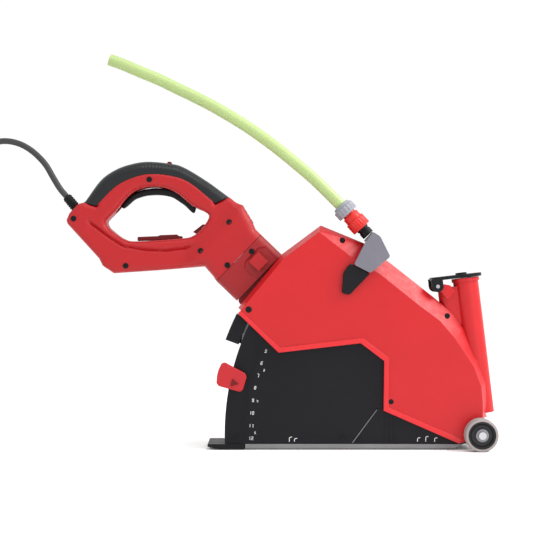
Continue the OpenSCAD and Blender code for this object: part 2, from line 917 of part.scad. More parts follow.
// ---- Mains cable ----

boot_tilt = -40;
module cable_boot() {
    color("#2a2a2c")
    translate([-321, handle_y, 374])
        rotate([0, boot_tilt, 0]) {
            cylinder(r = 8.5, h = 28);
            translate([0, 0, 28])
                cylinder(r1 = 8.5, r2 = 7, h = 10);
        }
}
cable_path = [
    [-346, 40, 404], [-356, 40, 416], [-367, 40, 434], [-378, 40, 453], [-390, 40, 467], [-404, 40, 479],
    [-420, 41, 488], [-438, 43, 493], [-456, 46, 493], [-473, 50, 487], [-487, 55, 475], [-498, 60, 457],
    [-505, 66, 435], [-509, 72, 405], [-511, 78, 370], [-512, 85, 330], [-512, 92, 285], [-511, 99, 235],
    [-509, 105, 185], [-506, 110, 135], [-502, 112, 95], [-498, 109, 60], [-495, 102, 36], [-493, 88, 17.5],
    [-492, 70, 8.6], [-492, 45, 6.6], [-492, 20, 6.6], [-492, 0, 6.6]];
tail_path = [[-627, 0, 38.4], [-627, 22, 37], [-627, 44, 30.6], [-627, 64, 21.4], [-627, 80, 14]];
// Turns of the coil lie three wide and four high, a little over a cable apart
coil_at = [-559.5, 0];
coil_mean = 57;
coil_half = 15.6;
coil_top = 41.8;
coil_lift = 1.6;
module mains_cable() {
    color("#5a5a5a") {
        tube(cable_path, cable_d, 10);
        tube(tail_path, cable_d, 10);
    }
}
module mains_coil() {
    w = 2 * coil_half;
    h = coil_top;
    color("#5a5a5a")
    translate([coil_at[0], coil_at[1], coil_lift])
        rotate_extrude()
            translate([coil_mean - coil_half, 0])
                polygon([[0, 4], [4, 0], [w - 4, 0], [w, 4], [w, h - 4], [w - 4, h], [4, h], [0, h - 4]]);
}
// Strap round the bundle, on the side nearest the tool's open face
module coil_tie() {
    r = coil_mean + coil_half;
    w = 2 * coil_half + 0.5;
    color("#1c1c1e")
    translate([coil_at[0], coil_at[1] - r, coil_lift])
        difference() {
            translate([-5, -1.4, -1.3])
                cube([10, w + 2.6, coil_top + 2.6]);
            translate([-6, -0.1, -0.05])
                cube([12, w, coil_top + 0.1]);
        }
}
plug_at = [-627, 80, 14];
module mains_plug() {
    translate(plug_at) {
        color("#1c1c1e") {
            rotate([-90, 0, 0])
                cylinder(r = 8, h = 24);
            translate([-19, 22, -14])
                cube([38, 42, 28]);
        }
        color("#b8b8bc")
        for (s = [-9.5, 9.5])
            translate([s, 63, 0])
                rotate([-90, 0, 0])
                    cylinder(r = 2.4, h = 19);
    }
}

base_plate();
rear_foot();
wear_strip();
guard_near();
guard_far();
guard_front();
depth_marks();
guard_screws();
wheel_axle();
axle_brackets();
return_spring();
wheel_hub(-1);  // wheel_hub_near
wheel_tyre(-1);  // wheel_tyre_near
wheel_hub(1);  // wheel_hub_far
wheel_tyre(1);  // wheel_tyre_far
depth_stop_block();
depth_stop_button();
cover_near();
cover_far();
cover_rim();
cover_screws();
rear_apron();
pivot_arm();
dust_duct();
dust_cap();
dust_cap_pin();
water_bracket();
water_arm();
water_valve();
hose_coupler();
hose_nut();
water_hose();
gear_housing();
motor_housing();
motor_stator();
shaft_bearings();
brush_holders();
carbon_brushes();
spindle();
crown_gear();
blade_flanges();
flange_nut();
diamond_blade();
armature_shaft();
armature_core();
commutator();
cooling_fan();
handle_near();
handle_far();
handle_screws();
handle_grip();
switch_module();
trigger();
lock_off();
spindle_lock();
cable_boot();
mains_cable();
mains_coil();
coil_tie();
mains_plug();
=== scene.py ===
import math

import bmesh
import bpy
import numpy as np
from mathutils import Matrix, Vector, geometry


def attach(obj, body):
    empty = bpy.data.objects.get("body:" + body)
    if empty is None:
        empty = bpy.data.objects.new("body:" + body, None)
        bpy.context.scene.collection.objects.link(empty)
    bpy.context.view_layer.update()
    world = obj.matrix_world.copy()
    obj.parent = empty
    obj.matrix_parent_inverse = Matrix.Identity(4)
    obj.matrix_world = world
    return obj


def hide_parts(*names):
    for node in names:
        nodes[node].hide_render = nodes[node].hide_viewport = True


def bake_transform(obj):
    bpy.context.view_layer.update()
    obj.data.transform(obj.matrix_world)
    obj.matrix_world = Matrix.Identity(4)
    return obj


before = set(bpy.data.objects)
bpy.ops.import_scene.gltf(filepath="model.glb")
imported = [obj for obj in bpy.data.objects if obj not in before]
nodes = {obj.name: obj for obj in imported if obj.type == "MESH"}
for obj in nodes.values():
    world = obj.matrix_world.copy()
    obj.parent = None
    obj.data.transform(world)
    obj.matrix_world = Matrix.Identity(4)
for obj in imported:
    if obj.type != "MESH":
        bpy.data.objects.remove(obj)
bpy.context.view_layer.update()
scene = bpy.context.scene
MM = 0.001
SLOT_OF = {n: obj.data.materials[0].name.split(".")[0] for n, obj in nodes.items()}

# Places in millimetres, as in the CAD part: X and Z of the axles, and Y of the faces
PIVOT = (316.0, 26.0)
HUB = (90.0, 154.0)
HANDLE_Y = 40.0
HANDLE_HALF = 26.2
GUARD_FACE = -33.0
MOTOR_TILT = math.radians(136)
ALONG = np.array([math.cos(MOTOR_TILT), math.sin(MOTOR_TILT)])
ACROSS = np.array([math.sin(MOTOR_TILT), -math.cos(MOTOR_TILT)])
WELD = 0.01


# ---------------------------------------------------------------- materials

def linear(code):
    """A colour code such as d23237 as linear RGB."""
    out = []
    for i in (0, 2, 4):
        c = int(code[i:i + 2], 16) / 255
        out.append(c / 12.92 if c <= 0.04045 else ((c + 0.055) / 1.055) ** 2.4)
    return (*out, 1.0)


def shade(color, k):
    return (*(min(1.0, c * k) for c in color[:3]), 1.0)


def surface(name, code, rough, metal=0.0, grain=1400.0, relief=0.12, tint=0.10, wear=None,
            wear_at=0.66, wear_share=0.35, brushed=None, coat=0.0, scatter=0.0, shine=0.35):
    """A finish with fine grain, broad tint changes, scuffs and roughness that varies."""
    mat = bpy.data.materials.new(name)
    mat.use_nodes = True
    tree = mat.node_tree
    tree.nodes.clear()
    new, link = tree.nodes.new, tree.links.new
    out = new("ShaderNodeOutputMaterial")
    bsdf = new("ShaderNodeBsdfPrincipled")
    link(bsdf.outputs[0], out.inputs[0])
    base = linear(code)
    bsdf.inputs["Metallic"].default_value = metal
    bsdf.inputs["Coat Weight"].default_value = coat
    bsdf.inputs["Specular IOR Level"].default_value = shine
    bsdf.inputs["Coat Roughness"].default_value = 0.25
    bsdf.inputs["Subsurface Weight"].default_value = scatter
    bsdf.inputs["Subsurface Scale"].default_value = 0.004
    place = new("ShaderNodeTexCoord")
    source = place.outputs["Object"]
    if brushed:
        stretch = new("ShaderNodeMapping")
        stretch.inputs["Scale"].default_value = brushed
        link(source, stretch.inputs["Vector"])
        fine_source = stretch.outputs["Vector"]
    else:
        fine_source = source

    def noise(scale, detail, vector, rough_detail=0.6):
        n = new("ShaderNodeTexNoise")
        n.inputs["Scale"].default_value = scale
        n.inputs["Detail"].default_value = detail
        n.inputs["Roughness"].default_value = rough_detail
        link(vector, n.inputs["Vector"])
        return n.outputs["Fac"]

    def ramp(value, lo, hi, a, b):
        r = new("ShaderNodeValToRGB")
        r.color_ramp.elements[0].position = lo
        r.color_ramp.elements[1].position = hi
        r.color_ramp.elements[0].color = a
        r.color_ramp.elements[1].color = b
        link(value, r.inputs["Fac"])
        return r.outputs["Color"]

    fine = noise(grain, 3.0, fine_source)
    broad = noise(9.0, 3.0, source)
    middle = noise(95.0, 5.0, source, 0.7)
    color = ramp(broad, 0.3, 0.7, shade(base, 1 - tint), shade(base, 1 + tint))
    speck = ramp(fine, 0.35, 0.65, shade((1, 1, 1), 0.86), (1, 1, 1, 1))
    mix = new("ShaderNodeMix")
    mix.data_type = "RGBA"
    mix.blend_type = "MULTIPLY"
    mix.inputs["Factor"].default_value = 0.5
    link(color, mix.inputs["A"])
    link(speck, mix.inputs["B"])
    result = mix.outputs["Result"]
    scuff = ramp(middle, wear_at, wear_at + 0.08, (0, 0, 0, 1), (wear_share,) * 3 + (1,))
    if wear:
        worn = new("ShaderNodeMix")
        worn.data_type = "RGBA"
        link(scuff, worn.inputs["Factor"])
        link(result, worn.inputs["A"])
        worn.inputs["B"].default_value = linear(wear)
        result = worn.outputs["Result"]
    link(result, bsdf.inputs["Base Color"])
    level = new("ShaderNodeMapRange")
    level.inputs["From Min"].default_value = 0.3
    level.inputs["From Max"].default_value = 0.7
    level.inputs["To Min"].default_value = max(0.04, rough - 0.07)
    level.inputs["To Max"].default_value = min(1.0, rough + 0.09)
    link(middle, level.inputs["Value"])
    link(level.outputs["Result"], bsdf.inputs["Roughness"])
    bump = new("ShaderNodeBump")
    bump.inputs["Strength"].default_value = relief
    bump.inputs["Distance"].default_value = 0.0003
    link(fine, bump.inputs["Height"])
    link(bump.outputs["Normal"], bsdf.inputs["Normal"])
    return mat


MATS = {
    "red_cover": surface("red_cover", "b8141a", 0.38, grain=1900, relief=0.10, tint=0.04, wear="e8a29c",
                         wear_at=0.72, wear_share=0.08),
    # The rim's lighter red is a painted highlight along the lower edge of the cover
    "red_rim_painted_highlight": surface("red_rim_painted_highlight", "cc2228", 0.36, grain=1900, relief=0.10, tint=0.04, wear="eeb0a8",
                       wear_at=0.70, wear_share=0.12),
    "red_handle": surface("red_handle", "aa1218", 0.42, grain=1700, relief=0.14, tint=0.04, wear="d88a84",
                          wear_at=0.72, wear_share=0.08),
    # The neck's darker red is painted shade, for the shadow that the cover casts on it
    "red_neck_painted_shade": surface("red_neck_painted_shade", "941218", 0.44, grain=1700, relief=0.14, tint=0.05, wear="d88a84",
                        wear_at=0.72, wear_share=0.08),
    "red_duct": surface("red_duct", "b8151a", 0.38, grain=1700, relief=0.12, tint=0.04, wear="e29a94",
                        wear_at=0.72, wear_share=0.08),
    "dark_red": surface("dark_red", "6a1418", 0.5, grain=1500, relief=0.15, wear="9a6a66", wear_share=0.15,
                        shine=0.2),
    "stop_red": surface("stop_red", "b01a22", 0.42, grain=1700, relief=0.12, tint=0.06, wear="eeb0a8",
                        wear_share=0.12),
    "black_plastic": surface("black_plastic", "131316", 0.44, grain=1300, relief=0.22, tint=0.10,
                             wear="46464a", wear_share=0.10, shine=0.16),
    "guard_black": surface("guard_black", "121217", 0.38, grain=1200, relief=0.20, tint=0.12, wear="3c3c42",
                           wear_share=0.10, shine=0.16),
    "marks_white": surface("marks_white", "ecece8", 0.55, grain=2200, relief=0.10, wear="9a9a98",
                           wear_share=0.3),
    "grip_rubber": surface("grip_rubber", "0b0d11", 0.30, grain=900, relief=0.35, tint=0.08, wear="3c4048",
                           wear_share=0.10, shine=0.4),
    "grey_plate": surface("grey_plate", "7b7b7c", 0.36, metal=0.7, grain=700, relief=0.12, wear="b4b4b4",
                          brushed=(0.06, 1.0, 1.0)),
    "gear_metal": surface("gear_metal", "56575c", 0.50, metal=0.6, grain=800, relief=0.30, wear="7c7c80",
                          wear_share=0.25),
    "steel": surface("steel", "b4b5b8", 0.28, metal=1.0, grain=900, relief=0.08, wear="8a8a8c",
                     brushed=(1.0, 0.08, 1.0)),
    "screw_black": surface("screw_black", "121214", 0.38, metal=0.5, grain=1800, relief=0.15, wear="5c5c60"),
    "blade_steel": surface("blade_steel", "9da0a4", 0.30, metal=1.0, grain=700, relief=0.10, wear="6e6a64"),
    "copper": surface("copper", "b06a38", 0.34, metal=1.0, grain=900, relief=0.15, wear="6a4028"),
    "brass": surface("brass", "b08f44", 0.34, metal=1.0, grain=900, relief=0.12, wear="7a6228"),
    "carbon": surface("carbon", "252527", 0.60, grain=1400, relief=0.3, wear="48484a"),
    "tyre_rubber": surface("tyre_rubber", "8f8785", 0.66, grain=800, relief=0.45, tint=0.10, wear="6a6462",
                           wear_share=0.4),
    "hub_black": surface("hub_black", "17171a", 0.38, grain=1400, relief=0.15, wear="4c4c50", wear_share=0.2),
    "cap_grey": surface("cap_grey", "77777c", 0.40, metal=0.3, grain=1200, relief=0.15, wear="a0a0a4"),
    "nut_grey": surface("nut_grey", "8a8a92", 0.46, grain=1300, relief=0.20, tint=0.06, wear="c8c8cc",
                        wear_share=0.2),
    "coupler_red": surface("coupler_red", "c81e16", 0.38, grain=1500, relief=0.12, tint=0.06, wear="f0a090",
                           wear_share=0.12),
    "bracket_grey": surface("bracket_grey", "74727c", 0.42, metal=0.35, grain=900, relief=0.25, tint=0.08,
                            wear="a8a6ae", wear_share=0.25),
    "hose_green": surface("hose_green", "a4b878", 0.34, grain=600, relief=0.12, tint=0.06, wear="8ea05e",
                          wear_share=0.15, scatter=0.15, coat=0.15),
    "hose_inside": surface("hose_inside", "7c8a48", 0.5, grain=600, relief=0.12),
    "cable_grey": surface("cable_grey", "38383a", 0.50, grain=1200, relief=0.25, tint=0.08, wear="6e6e70",
                          wear_share=0.2),
    "plug_black": surface("plug_black", "1c1c1f", 0.48, grain=1300, relief=0.25, wear="48484c",
                          wear_share=0.2),
    "floor_pale": surface("floor_pale", "ffffff", 0.70, grain=40, relief=0.02, tint=0.004),
}


def dress(obj, slot, mat=None):
    """Gives a piece its material: the one named, or else that of the CAD slot that it stands for."""
    obj.data.materials.clear()
    obj.data.materials.append(MATS[mat or slot])


# ---------------------------------------------------------------- mesh tools

def add(name, bm, smooth_below=38.0):
    """A mesh object from a bmesh in millimetres, smooth but for its sharp edges."""
    bmesh.ops.recalc_face_normals(bm, faces=bm.faces)
    bm.transform(Matrix.Scale(MM, 4))
    limit = math.radians(smooth_below)
    for f in bm.faces:
        f.smooth = True
    for e in bm.edges:
        e.smooth = not (len(e.link_faces) == 2 and e.calc_face_angle(0) > limit)
    me = bpy.data.meshes.new(name)
    bm.to_mesh(me)
    bm.free()
    obj = bpy.data.objects.new(name, me)
    scene.collection.objects.link(obj)
    return obj


def bake(obj):
    """Keeps what the modifiers make as the object's own mesh."""
    graph = bpy.context.evaluated_depsgraph_get()
    me = bpy.data.meshes.new_from_object(obj.evaluated_get(graph))
    obj.modifiers.clear()
    obj.data = me
    return obj


def bevelled(obj, width, segments=3, angle=28.0):
    b = obj.modifiers.new("edges", "BEVEL")
    b.width = width * MM
    b.segments = segments
    b.limit_method = "ANGLE"
    b.angle_limit = math.radians(angle)
    b.harden_normals = True
    b.use_clamp_overlap = True
    return bake(obj)


def cad_copy(*names):
    """The CAD meshes as one clean mesh to shape further, with flat faces joined."""
    bm = bmesh.new()
    for n in names:
        bm.from_mesh(nodes[n].data)
    bm.transform(Matrix.Scale(1 / MM, 4))
    bmesh.ops.remove_doubles(bm, verts=bm.verts, dist=WELD)
    bmesh.ops.dissolve_limit(bm, angle_limit=math.radians(0.6), verts=bm.verts, edges=bm.edges)
    return bm


def from_cad(name, node, slot, body, bevel=0.8, segments=3, mat=None, angle=28.0):
    """A CAD node with rounded edges, in place of the plain one."""
    obj = add(name, cad_copy(node))
    bevelled(obj, bevel, segments, angle)
    finish_piece(obj, slot, body, [node], mat)


def finish_piece(obj, slot, body, names=(), mat=None):
    dress(obj, slot, mat)
    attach(obj, body)
    if names:
        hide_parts(*names)


def prism(bm, outline, y0, y1):
    """Adds a flat piece in the XZ plane between two depths."""
    a = [bm.verts.new((x, y0, z)) for x, z in outline]
    b = [bm.verts.new((x, y1, z)) for x, z in outline]
    bm.faces.new(a)
    bm.faces.new(b[::-1])
    for i in range(len(a)):
        j = (i + 1) % len(a)
        bm.faces.new((a[i], b[i], b[j], a[j]))


def lathe(bm, profile, place, sides=64):
    """Turns (radius, height) points round the local Z axis of a 4x4 placement."""
    rings = []
    for r, h in profile:
        if r < 1e-6:
            rings.append([bm.verts.new(place @ Vector((0, 0, h)))])
        else:
            rings.append([bm.verts.new(place @ Vector((r * math.cos(2 * math.pi * k / sides),
                                                       r * math.sin(2 * math.pi * k / sides), h)))
                          for k in range(sides)])
    for p, q in zip(rings, rings[1:]):
        for k in range(sides):
            j = (k + 1) % sides
            quad = [p[k % len(p)], p[j % len(p)], q[j % len(q)], q[k % len(q)]]
            seen = []
            for v in quad:
                if v not in seen:
                    seen.append(v)
            if len(seen) > 2:
                bm.faces.new(seen)


def facing(x, y, z, direction):
    """A placement whose local Z runs along direction."""
    rot = Vector((0, 0, 1)).rotation_difference(Vector(direction)).to_matrix().to_4x4()
    return Matrix.Translation((x, y, z)) @ rot


def screw(bm, x, y, z, r, rise, out=-1.0):
    """A pan-head screw with a six-lobed socket, whose head stands out from y."""
    place = facing(x, y, z, (0, out, 0))
    socket = r * 0.52
    sides = 36
    rings = []
    for rad, h, lobed in ((r, -0.4, 0), (r, rise * 0.55, 0), (r * 0.93, rise * 0.88, 0), (r * 0.8, rise, 0),
                          (socket, rise, 1), (socket * 0.92, rise - 1.0, 1), (0, rise - 1.1, 0)):
        ring = []
        for k in range(sides):
            a = 2 * math.pi * k / sides
            rr = rad * (1 + 0.14 * lobed * math.cos(6 * a))
            ring.append(bm.verts.new(place @ Vector((rr * math.cos(a), rr * math.sin(a), h))))
        rings.append(ring)
    for p, q in zip(rings, rings[1:]):
        for k in range(sides):
            j = (k + 1) % sides
            bm.faces.new((p[k], p[j], q[j], q[k]))
    bmesh.ops.remove_doubles(bm, verts=rings[-1], dist=0.001)


def spline(points, steps=6):
    """A smooth run through the points."""
    pts = [Vector(p) for p in points]
    out = []
    for i in range(len(pts) - 1):
        p0 = pts[i - 1] if i else pts[0] * 2 - pts[1]
        p3 = pts[i + 2] if i + 2 < len(pts) else pts[-1] * 2 - pts[-2]
        p1, p2 = pts[i], pts[i + 1]
        for k in range(steps):
            t = k / steps
            out.append(0.5 * ((2 * p1) + (p2 - p0) * t + (2 * p0 - 5 * p1 + 4 * p2 - p3) * t * t
                              + (3 * p1 - p0 - 3 * p2 + p3) * t ** 3))
    out.append(pts[-1])
    return out


def tube(bm, path, radius, sides=20, inner=None):
    """A tube along a run of points, closed at both ends, or hollow with an inner radius."""
    pts = [Vector(p) for p in path]
    tangents = []
    for i in range(len(pts)):
        tangents.append((pts[min(i + 1, len(pts) - 1)] - pts[max(i - 1, 0)]).normalized())
    side = tangents[0].orthogonal().normalized()
    shells = {radius: [], **({inner: []} if inner else {})}
    for p, t in zip(pts, tangents):
        side = (side - t * side.dot(t)).normalized()
        up = t.cross(side)
        for r, rings in shells.items():
            rings.append([bm.verts.new(p + r * (side * math.cos(2 * math.pi * k / sides)
                                                + up * math.sin(2 * math.pi * k / sides)))
                          for k in range(sides)])
    for rings in shells.values():
        for p, q in zip(rings, rings[1:]):
            for k in range(sides):
                j = (k + 1) % sides
                bm.faces.new((p[k], p[j], q[j], q[k]))
    outer = shells[radius]
    for end in (0, -1):
        if inner:
            for k in range(sides):
                j = (k + 1) % sides
                bm.faces.new((outer[end][k], outer[end][j], shells[inner][end][j], shells[inner][end][k]))
        else:
            bm.faces.new(outer[end])


def bar(bm, p, q, width, y0, y1):
    """A straight stroke with round ends between two XZ points."""
    d = Vector((q[0] - p[0], q[1] - p[1]))
    a = math.atan2(d.y, d.x)
    outline = []
    for c, start in ((q, a - math.pi / 2), (p, a + math.pi / 2)):
        for k in range(7):
            w = start + math.pi * k / 6
            outline.append((c[0] + width / 2 * math.cos(w), c[1] + width / 2 * math.sin(w)))
    prism(bm, outline, y0, y1)


def polar(r, degrees):
    """The XZ point at a radius and angle round the wheel axle."""
    a = math.radians(degrees)
    return (PIVOT[0] + r * math.cos(a), PIVOT[1] + r * math.sin(a))


def on_motor(t, s):
    """The XZ point t along the motor's axis and s to its side."""
    return (HUB[0] + t * ALONG[0] + s * ACROSS[0], HUB[1] + t * ALONG[1] + s * ACROSS[1])


def softened(points, reach, rounds=3):
    """Rounds the corners of a closed outline, by at most about reach."""
    pts = [Vector(p) for p in points]
    for k in range(rounds):
        out = []
        for i, b in enumerate(pts):
            a, c = pts[i - 1], pts[(i + 1) % len(pts)]
            for q in (a, c):
                d = q - b
                out.append(b + d.normalized() * min(reach, d.length * 0.27))
        pts = out
        reach *= 0.45
    return [tuple(p) for p in pts]


def divided(points, step):
    """A closed outline with points no further apart than step."""
    out = []
    for i, p in enumerate(points):
        a, b = np.array(p), np.array(points[(i + 1) % len(points)])
        n = max(1, int(math.ceil(np.linalg.norm(b - a) / step)))
        out += [tuple(a + (b - a) * k / n) for k in range(n)]
    return out


def edge_distance(pts, segments):
    """The distance of each point from the nearest of the segments."""
    a, b = segments[:, 0], segments[:, 1]
    d = b - a
    length = np.maximum((d * d).sum(1), 1e-9)
    best = np.full(len(pts), 1e9)
    for k in range(0, len(pts), 4000):
        q = pts[k:k + 4000, None, :]
        t = np.clip(((q - a) * d).sum(2) / length, 0, 1)
        gap = q - (a + t[..., None] * d)
        best[k:k + 4000] = np.sqrt((gap * gap).sum(2).min(1))
    return best


def within(pts, loops):
    """Whether each point is inside the first loop and outside the others."""
    count = np.zeros(len(pts), int)
    for loop in loops:
        for i, (x0, z0) in enumerate(loop):
            x1, z1 = loop[(i + 1) % len(loop)]
            if z0 == z1:
                continue
            hit = (pts[:, 1] > z0) != (pts[:, 1] > z1)
            count += hit & (pts[:, 0] < x0 + (x1 - x0) * (pts[:, 1] - z0) / (z1 - z0))
    return count % 2 == 1


def ease(v, lo, hi):
    """A soft rise from 0 at lo to 1 at hi."""
    t = np.clip((v - lo) / (hi - lo), 0, 1)
    return t * t * (3 - 2 * t)


# Rings of points inside a pillow's edge, as shares of the edge radius
EDGE_RINGS = (0.06, 0.2, 0.42, 0.7)


def pillow(loops, half, radius, sharp=None, relief=None, step=3.2, extra=()):
    """A sheet over an outline that rounds off towards its edges.

    half and radius give the half thickness and edge radius at each point. sharp says which edges stay
    square, from their midpoints, and extra adds points where the relief is fine. Returns points, heights,
    triangles and open edges."""
    loops = [divided(loop, step) for loop in loops]
    segs = np.array([(loop[i], loop[(i + 1) % len(loop)]) for loop in loops for i in range(len(loop))])
    if sharp is not None:
        segs = segs[~sharp(segs.mean(1))]
    rim = [p for loop in loops for p in loop]
    edges, base = [], 0
    for loop in loops:
        edges += [(base + i, base + (i + 1) % len(loop)) for i in range(len(loop))]
        base += len(loop)
    lo, hi = np.array(rim).min(0), np.array(rim).max(0)
    xs, zs = np.meshgrid(np.arange(lo[0], hi[0], step), np.arange(lo[1], hi[1], step * 0.87))
    xs = xs + (np.arange(len(zs)) % 2)[:, None] * step / 2
    grid = np.stack([xs.ravel(), zs.ravel()], 1)
    grid = grid[within(grid, loops)]
    r_top = float(np.max(radius(np.array(rim))))
    inner = []
    for share in EDGE_RINGS:
        for loop in loops:
            for i, p in enumerate(loop):
                a, b = np.array(loop[i - 1]), np.array(loop[(i + 1) % len(loop)])
                t = (b - a) / max(np.linalg.norm(b - a), 1e-9)
                for s in (-1, 1):
                    inner.append(np.array(p) + s * share * r_top * np.array([-t[1], t[0]]))
    inner = np.array(inner)
    shares = np.repeat(EDGE_RINGS, 2 * len(rim)) * r_top
    all_segs = np.array([(loop[i], loop[(i + 1) % len(loop)]) for loop in loops for i in range(len(loop))])
    keep = within(inner, loops) & (edge_distance(inner, all_segs) > shares * 0.95)
    grid = grid[edge_distance(grid, all_segs) > min(r_top * 0.8, step * 0.9)]
    if len(extra):
        extra = extra[edge_distance(extra, all_segs) > 1.0]
        grid = grid[np.array([np.min(np.abs(extra - g).sum(1)) for g in grid]) > 1.2]
    pts = [Vector(p) for p in [*rim, *inner[keep], *grid, *extra]]
    out = geometry.delaunay_2d_cdt(pts, edges, [], 0, 0.02)
    verts = np.array([tuple(v) for v in out[0]])
    middle = np.array([verts[list(f)].mean(0) for f in out[2]])
    tris = [f for f, ok in zip(out[2], within(middle, loops)) if ok]
    d = edge_distance(verts, segs)
    rad = radius(verts)
    gap = rad - np.minimum(d, rad)
    height = half(verts) - rad + np.sqrt(np.maximum(rad * rad - gap * gap, 0))
    if relief is not None:
        height = height + relief(verts, d)
    used = {}
    for f in tris:
        for k in range(3):
            e = (f[k], f[(k + 1) % 3])
            used[tuple(sorted(e))] = used.get(tuple(sorted(e)), 0) + 1
    open_edges = [e for e, n in used.items() if n == 1]
    return verts, height, tris, open_edges


def pillow_half(bm, sheet, y_mid, side, seam):
    """One side of a pillow, with walls down to the seam, whose place may differ from point to point."""
    verts, height, tris, open_edges = sheet
    top = [bm.verts.new((x, y_mid + side * h, z)) for (x, z), h in zip(verts, height)]
    for f in tris:
        bm.faces.new([top[i] for i in f])
    low = {}
    for a, b in open_edges:
        for i in (a, b):
            if i not in low:
                stop = seam(verts[i]) if callable(seam) else seam
                low[i] = bm.verts.new((verts[i][0], y_mid + side * stop, verts[i][1]))
        bm.faces.new((top[a], top[b], low[b], low[a]))


# ---------------------------------------------------------------- camera, floor, light

CAMERA_AT = (-0.0056, -2.2, 0.280)
camera = bpy.data.objects.new("camera", bpy.data.cameras.new("camera"))
scene.collection.objects.link(camera)
camera.location = CAMERA_AT
camera.rotation_euler = (math.pi / 2, 0, 0)
camera.data.lens = 90
camera.data.sensor_width = 36
camera.data.sensor_fit = "HORIZONTAL"
camera.data.dof.use_dof = False
scene.camera = camera

FLOOR_HALF = 9000
bm = bmesh.new()
bmesh.ops.create_grid(bm, x_segments=2, y_segments=2, size=FLOOR_HALF)
floor = add("floor", bm)
floor.data.materials.append(MATS["floor_pale"])

world = bpy.data.worlds.new("studio")
scene.world = world
world.use_nodes = True
world.node_tree.nodes["Background"].inputs["Color"].default_value = (1, 1, 1, 1)
world.node_tree.nodes["Background"].inputs["Strength"].default_value = 1.04
scene.view_settings.view_transform = "Standard"


def softbox(name, place, at, size, power):
    data = bpy.data.lights.new(name, "AREA")
    data.shape = "RECTANGLE"
    data.size, data.size_y = size
    data.energy = power
    obj = bpy.data.objects.new(name, data)
    scene.collection.objects.link(obj)
    obj.location = place
    obj.rotation_euler = (Vector(at) - Vector(place)).to_track_quat("-Z", "Y").to_euler()


softbox("light_top", (0.2, -0.7, 1.9), (0.05, 0, 0.2), (1.4, 1.0), 10)
softbox("light_key", (1.5, -1.7, 0.8), (0.2, 0, 0.15), (0.9, 0.9), 6)
softbox("light_rim", (1.8, -0.3, 1.7), (0.15, 0, 0.25), (1.2, 1.2), 44)

# ---------------------------------------------------------------- cords

CABLE = [
    (-346, 40, 404), (-356, 40, 416), (-367, 40, 434), (-378, 40, 453), (-390, 40, 467), (-404, 40, 479),
    (-420, 41, 488), (-438, 43, 493), (-456, 46, 493), (-473, 50, 487), (-487, 55, 475), (-498, 60, 457),
    (-505, 66, 435), (-509, 72, 405), (-511, 78, 370), (-512, 85, 330), (-512, 92, 285), (-511, 99, 235),
    (-509, 105, 185), (-506, 110, 135), (-502, 112, 95), (-498, 109, 60), (-495, 102, 36), (-493, 88, 17.5),
    (-492, 70, 8.6), (-492, 45, 6.6), (-492, 20, 6.6), (-492, 0, 6.6)]
TAIL = [(-627, 0, 38.4), (-627, 22, 37), (-627, 44, 30.6), (-627, 64, 21.4), (-627, 80, 14)]
COIL_AT = (-559.5, 0)
RING_R = {"o": 67.6, "m": 57.0, "i": 46.4}
RING_Z = (6.6, 17.2, 27.8, 38.4)
PLACES = [("o", 0), ("m", 0), ("i", 0), ("i", 1), ("m", 1), ("o", 1), ("o", 2), ("m", 2), ("i", 2),
          ("i", 3), ("m", 3), ("o", 3)]
# Each turn of the coil keeps its place for a share of a turn, and shifts to the next over the rest
HOLD = 0.85
SHIFT = 0.15
TURNS = 9.5


def coil():
    """The cable's turns, each shifting to the next place over a short part of a turn."""
    out = []
    steps = 456
    for n in range(1, steps):
        turn = TURNS * n / steps
        k = min(int(turn / HOLD), len(PLACES) - 1)
        here, before = PLACES[k], PLACES[max(k - 1, 0)]
        f = min((turn - k * HOLD) / SHIFT, 1.0) if k else 1.0
        f = f * f * (3 - 2 * f)
        r = RING_R[before[0]] * (1 - f) + RING_R[here[0]] * f
        z = RING_Z[before[1]] * (1 - f) + RING_Z[here[1]] * f
        a = -2 * math.pi * turn
        out.append(Vector((COIL_AT[0] + r * math.cos(a), COIL_AT[1] + r * math.sin(a), z)))
    return out


cable_path = spline(CABLE, 5) + coil() + spline(TAIL, 4)
bm = bmesh.new()
tube(bm, cable_path, 5.0, 14)
cable = add("mains_cable_look", bm, 60)
dress(cable, "cable_grey")
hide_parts("mains_cable", "mains_coil")
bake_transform(cable)

# Strap round the coil
tie = add("coil_tie_look", cad_copy("coil_tie"))
bevelled(tie, 0.5, 2)
finish_piece(tie, "plug_black", "base", ["coil_tie"])

# Plug: collar with ridges, rounded body, two pins
bm = bmesh.new()
place = facing(-627, 80, 14, (0, 1, 0))
profile = [(5.2, 0), (6.6, 0.6)]
for k in range(6):
    profile += [(7.4, 1.5 + 3.4 * k), (7.4, 3.0 + 3.4 * k), (6.4, 3.4 + 3.4 * k), (6.4, 4.5 + 3.4 * k)]
profile += [(8, 22.5), (8, 26)]
lathe(bm, [(0, 0)] + profile + [(0, 26)], place, 32)
plug_neck = add("plug_neck_look", bm)
finish_piece(plug_neck, "plug_black", "base")
bm = bmesh.new()
rings = []
for y, w, h in ((102, 10, 9), (108, 15, 12), (118, 18, 13.6), (134, 18.8, 13.9), (144, 19, 14)):
    ring = []
    for k in range(32):
        a = 2 * math.pi * k / 32
        c, s = math.cos(a), math.sin(a)
        n = (abs(c) ** 4 + abs(s) ** 4) ** 0.25
        ring.append(bm.verts.new((-627 + w * c / n, y, 14 + h * s / n)))
    rings.append(ring)
for p, q in zip(rings, rings[1:]):
    for k in range(32):
        bm.faces.new((p[k], p[(k + 1) % 32], q[(k + 1) % 32], q[k]))
bm.faces.new(rings[0])
bm.faces.new(rings[-1])
plug = add("mains_plug_look", bm, 50)
bevelled(plug, 0.6, 2, 50)
finish_piece(plug, "plug_black", "base", ["mains_plug"])
bm = bmesh.new()
for s in (-9.5, 9.5):
    profile = [(0, 0), (2.4, 0), (2.4, 15.5), (1.9, 17.2), (0.9, 18), (0, 18)]
    lathe(bm, profile, facing(-627 + s, 144, 14, (0, 1, 0)), 24)
pins = add("plug_pins_look", bm)
